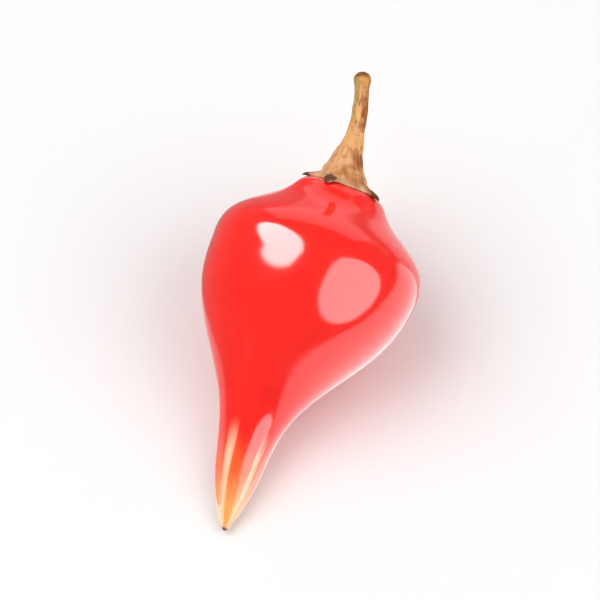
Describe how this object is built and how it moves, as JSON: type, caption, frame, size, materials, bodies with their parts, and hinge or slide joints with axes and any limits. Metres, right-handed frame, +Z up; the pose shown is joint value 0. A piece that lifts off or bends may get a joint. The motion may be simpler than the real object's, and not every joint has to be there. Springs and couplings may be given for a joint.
{
  "type": "chilli pepper",
  "caption": "Small drop-shaped chilli pepper lying on its side, with a rounded belly, a pointed beak, a toothed calyx and a short bent stem.",
  "frame": {"origin": "centre of the footprint's box, on the surface that the pepper lies on", "axes": "+Y from the tip of the beak to the cut end of the stem, +Z up from the surface"},
  "size_m": [0.0154, 0.0318, 0.0151],
  "materials": {
    "pod_skin": "glossy waxy red skin, orange to yellow at the beak",
    "dry_calyx": "matt dry tan, brown at the teeth",
    "dry_stem": "matt ribbed ochre, brown at the cut end"
  },
  "bodies": {
    "root": {"pod": "pod_skin", "calyx": "dry_calyx", "stem": "dry_stem"}
  },
  "joints": []
}
